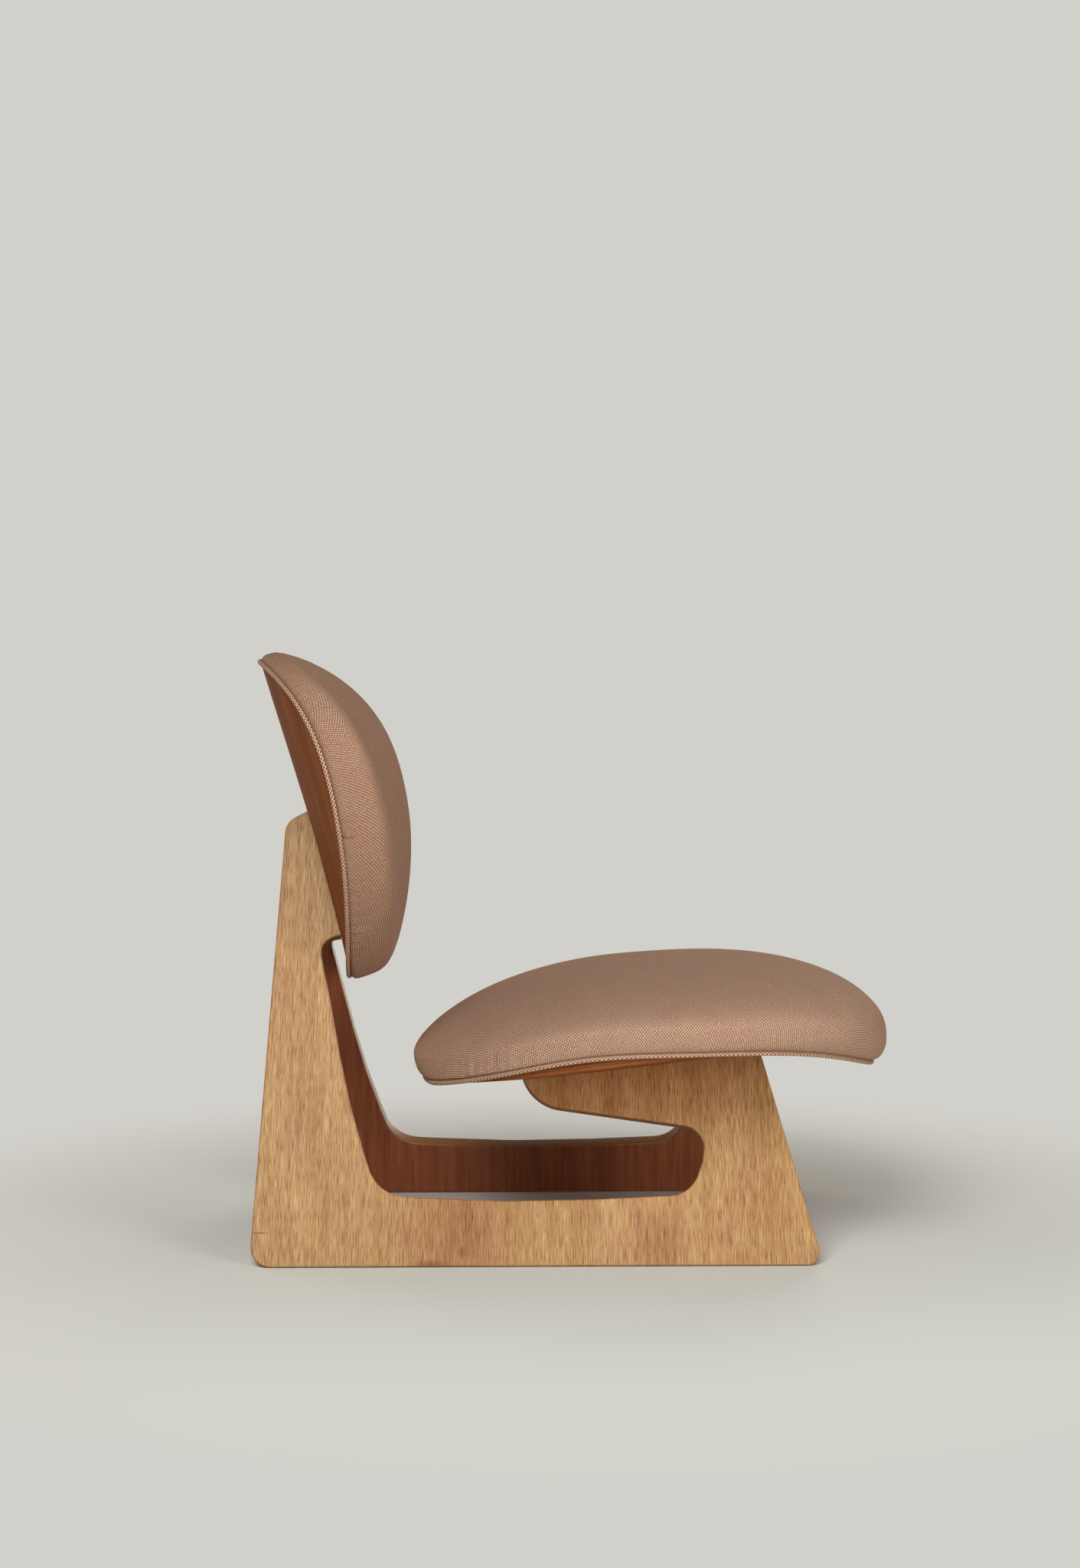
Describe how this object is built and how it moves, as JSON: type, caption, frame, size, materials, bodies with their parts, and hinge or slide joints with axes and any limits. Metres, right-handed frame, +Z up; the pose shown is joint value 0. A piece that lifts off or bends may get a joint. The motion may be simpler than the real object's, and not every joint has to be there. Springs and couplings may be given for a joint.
{
  "type": "lounge chair",
  "caption": "Low cantilever lounge chair: inward-leaning plywood side panels with free-ended arms carry curved shells with an upholstered oval seat and back.",
  "frame": {"origin": "on the floor, under the middle of the whole chair", "axes": "+Z up, the chair's front faces -Y, the sitter's right is at -X"},
  "size_m": [0.5666, 0.7072, 0.6538],
  "materials": {
    "panel_wood": "satin lacquer",
    "shell_wood": "satin lacquer",
    "cushion_cloth": "basket weave",
    "piping_cloth": "basket weave on the bias",
    "board_wood": "raw",
    "hardwood": "raw",
    "screw_steel": "zinc plated",
    "nylon": "moulded"
  },
  "bodies": {
    "root": {"back_board": "board_wood", "back_clip_1": "nylon", "back_clip_2": "nylon", "back_clip_3": "nylon", "back_clip_4": "nylon", "back_cushion": "cushion_cloth", "back_piping": "piping_cloth", "back_screw_left_1": "screw_steel", "back_screw_left_2": "screw_steel", "back_screw_right_1": "screw_steel", "back_screw_right_2": "screw_steel", "back_shell": "shell_wood", "glide_left_front": "nylon", "glide_left_rear": "nylon", "glide_right_front": "nylon", "glide_right_rear": "nylon", "post_dowel_1": "hardwood", "post_dowel_2": "hardwood", "post_wedge": "hardwood", "seat_board": "board_wood", "seat_clip_1": "nylon", "seat_clip_2": "nylon", "seat_clip_3": "nylon", "seat_clip_4": "nylon", "seat_cushion": "cushion_cloth", "seat_piping": "piping_cloth", "seat_screw_left_1": "screw_steel", "seat_screw_left_2": "screw_steel", "seat_screw_left_3": "screw_steel", "seat_screw_right_1": "screw_steel", "seat_screw_right_2": "screw_steel", "seat_screw_right_3": "screw_steel", "seat_shell": "shell_wood", "side_panel_left": "panel_wood", "side_panel_right": "panel_wood"}
  },
  "joints": []
}
